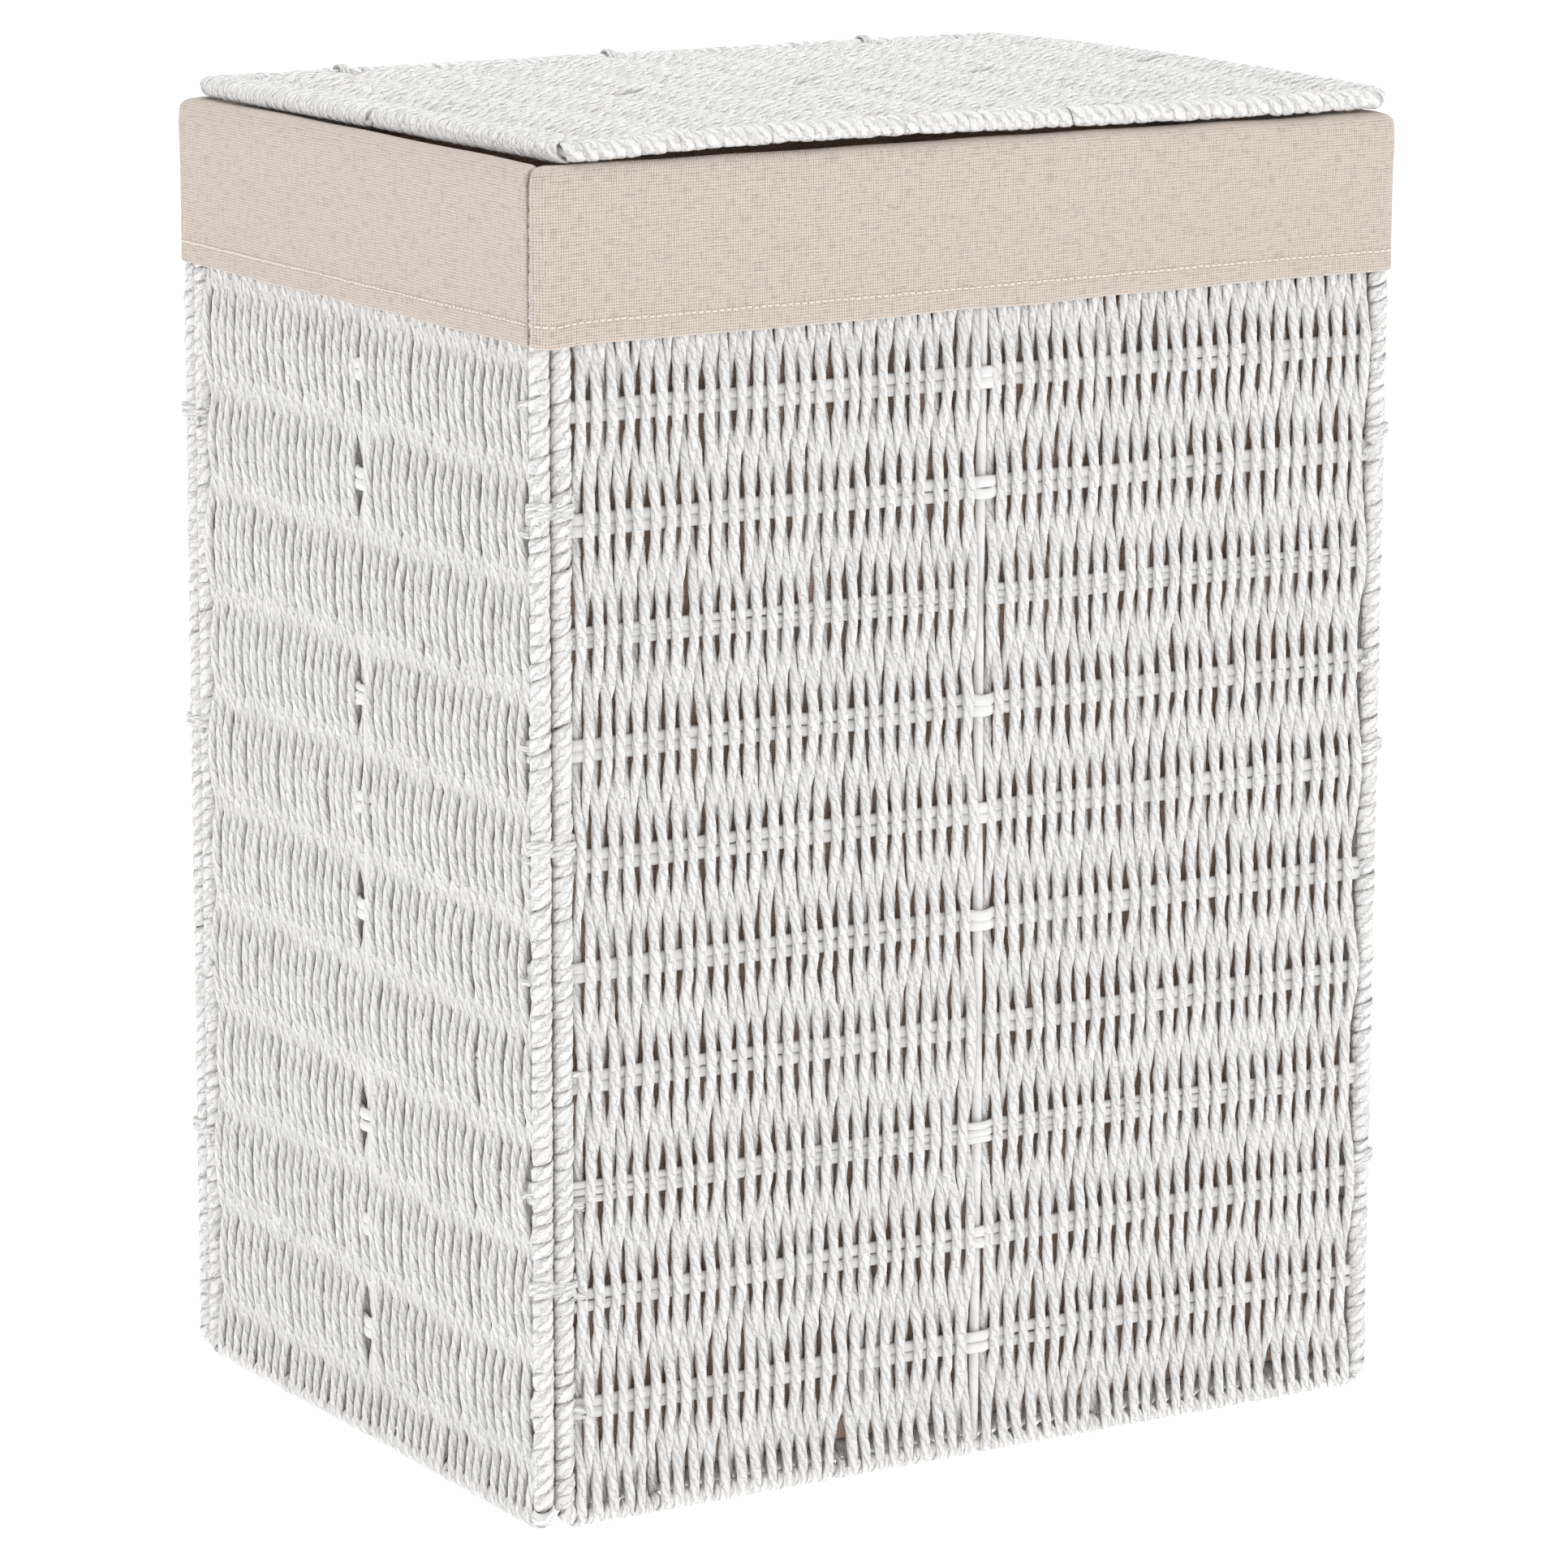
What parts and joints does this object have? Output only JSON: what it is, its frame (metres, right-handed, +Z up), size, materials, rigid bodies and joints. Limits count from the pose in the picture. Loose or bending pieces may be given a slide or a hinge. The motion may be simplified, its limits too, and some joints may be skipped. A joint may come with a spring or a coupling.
{
  "type": "laundry basket",
  "caption": "Tall rectangular laundry basket of woven white paper cord on wire frames, with a woven lid hinged at the back and a linen liner turned down over the rim.",
  "frame": {"origin": "middle of the underside, on the floor", "axes": "+Z up, -Y is the wide front, the lid is hinged along +Y, +X is the right-hand side seen from the front"},
  "size_m": [0.405, 0.305, 0.5465],
  "materials": {
    "paper_cord": "matt white twisted paper cord",
    "frame_wire": "white coated steel wire",
    "liner_cloth": "natural linen and cotton plain weave",
    "sewing_thread": "cream sewing thread"
  },
  "bodies": {
    "basket": {"front_frame": "frame_wire", "front_stay": "paper_cord", "front_stakes": "paper_cord", "front_weave": "paper_cord", "front_left_wrap": "paper_cord", "front_right_wrap": "paper_cord", "right_frame": "frame_wire", "right_stay": "paper_cord", "right_stakes": "paper_cord", "right_weave": "paper_cord", "right_front_wrap": "paper_cord", "right_back_wrap": "paper_cord", "back_frame": "frame_wire", "back_stay": "paper_cord", "back_stakes": "paper_cord", "back_weave": "paper_cord", "back_right_wrap": "paper_cord", "back_left_wrap": "paper_cord", "left_frame": "frame_wire", "left_stay": "paper_cord", "left_stakes": "paper_cord", "left_weave": "paper_cord", "left_back_wrap": "paper_cord", "left_front_wrap": "paper_cord", "base_frame": "frame_wire", "base_stay": "paper_cord", "base_stakes": "paper_cord", "base_weave": "paper_cord", "base_front_wrap": "paper_cord", "base_back_wrap": "paper_cord", "front_left_lashings": "paper_cord", "front_right_lashings": "paper_cord", "back_right_lashings": "paper_cord", "back_left_lashings": "paper_cord", "base_front_lashings": "paper_cord", "base_back_lashings": "paper_cord", "base_left_lashings": "paper_cord", "base_right_lashings": "paper_cord", "left_hinge_loop": "paper_cord", "middle_hinge_loop": "paper_cord", "right_hinge_loop": "paper_cord", "liner_floor": "liner_cloth", "liner_walls": "liner_cloth", "liner_cuff": "liner_cloth", "cuff_hem": "liner_cloth", "hem_thread": "sewing_thread", "seam_threads": "sewing_thread"},
    "lid": {"lid_frame": "frame_wire", "lid_stay": "paper_cord", "lid_stakes": "paper_cord", "lid_weave": "paper_cord", "lid_front_wrap": "paper_cord", "lid_back_wrap": "paper_cord"}
  },
  "joints": [
    {"name": "lid_hinge", "type": "hinge", "parent": "basket", "child": "lid", "pos_m": [0, 0.1417, 0.5407], "axis": [-1, 0, 0], "range_deg": [0, 175]}
  ]
}
